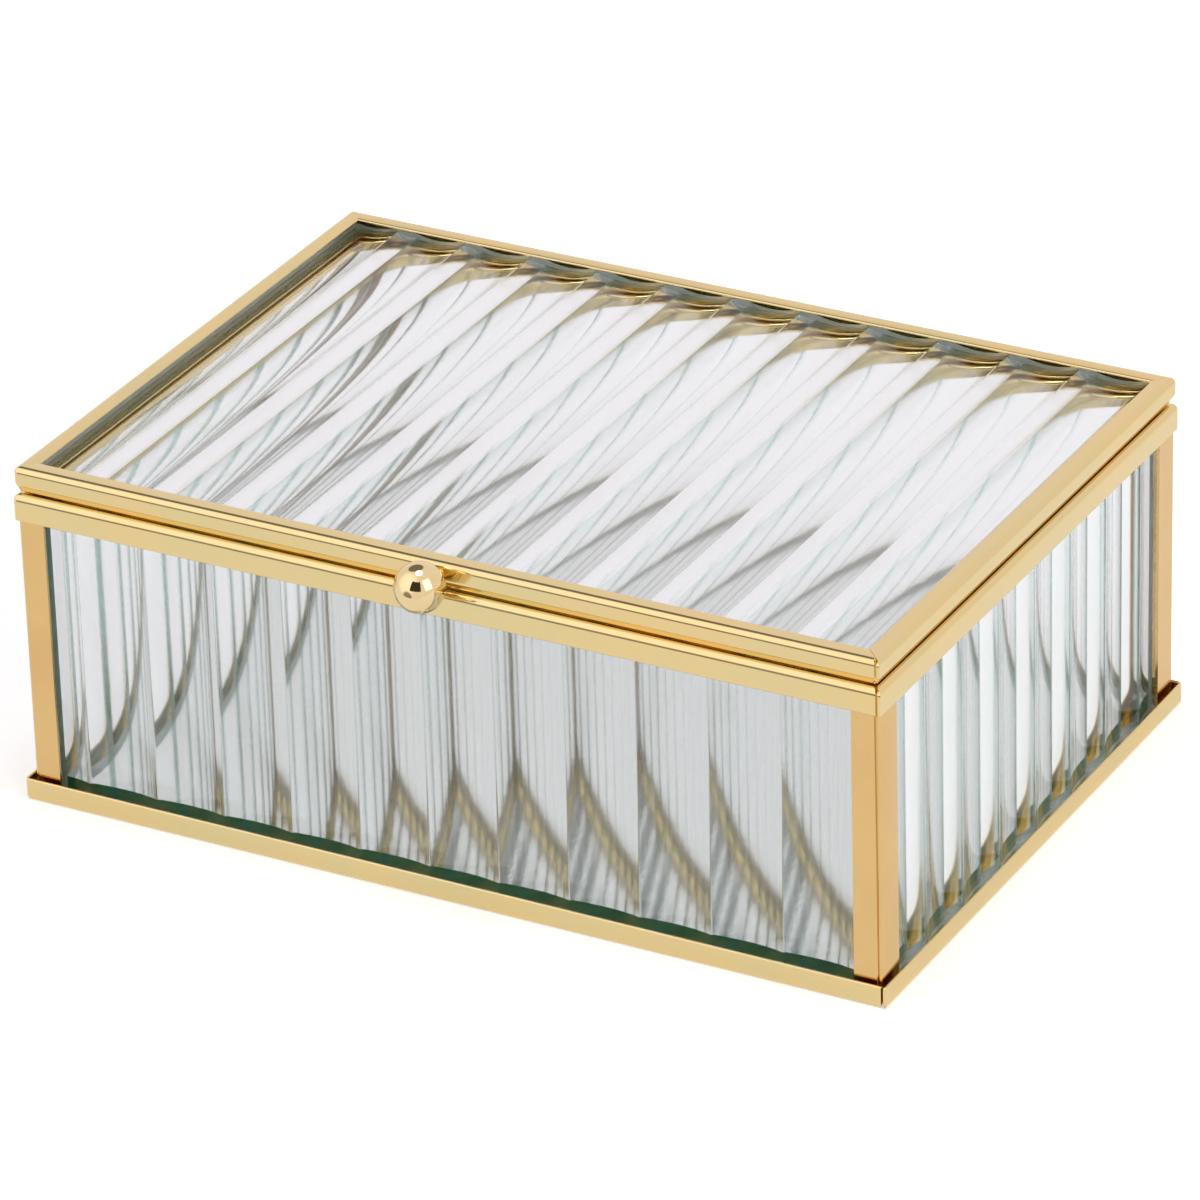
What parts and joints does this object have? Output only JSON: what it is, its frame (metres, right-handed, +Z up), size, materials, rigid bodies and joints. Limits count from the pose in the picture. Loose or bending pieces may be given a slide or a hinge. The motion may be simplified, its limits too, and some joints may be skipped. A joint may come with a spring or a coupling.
{
  "type": "glass casket box",
  "caption": "Low rectangular keepsake box of fluted glass panes in folded brass strip, with a mirror floor, a hinged glass lid and a ball knob.",
  "frame": {"origin": "centre of the underside of the foot strip, on the table", "axes": "+X to the viewer's right along the box's long side, +Y from the knob side to the hinge side, +Z up"},
  "size_m": [0.1616, 0.1257, 0.0642],
  "materials": {
    "polished_brass": "polished, lacquered",
    "fluted_glass": "clear, fluted on the outer side",
    "mirror_floor": "silvered glass, cut edges"
  },
  "bodies": {
    "box": {"base_mirror": "mirror_floor", "pane_front": "fluted_glass", "pane_back": "fluted_glass", "pane_left": "fluted_glass", "pane_right": "fluted_glass", "foot_frame": "polished_brass", "post_front_left": "polished_brass", "post_front_right": "polished_brass", "post_back_left": "polished_brass", "post_back_right": "polished_brass", "rim_frame": "polished_brass", "hinge_body_leaf_left": "polished_brass", "hinge_body_leaf_right": "polished_brass", "hinge_pin_left": "polished_brass", "hinge_pin_right": "polished_brass"},
    "lid": {"lid_frame": "polished_brass", "lid_glass": "fluted_glass", "lid_knob": "polished_brass", "hinge_lid_leaf_left": "polished_brass", "hinge_lid_leaf_right": "polished_brass"}
  },
  "joints": [
    {"name": "lid_hinge", "type": "hinge", "parent": "box", "child": "lid", "pos_m": [0, 0.0581, 0.05745], "axis": [-1, 0, 0], "range_deg": [0, 105]}
  ]
}
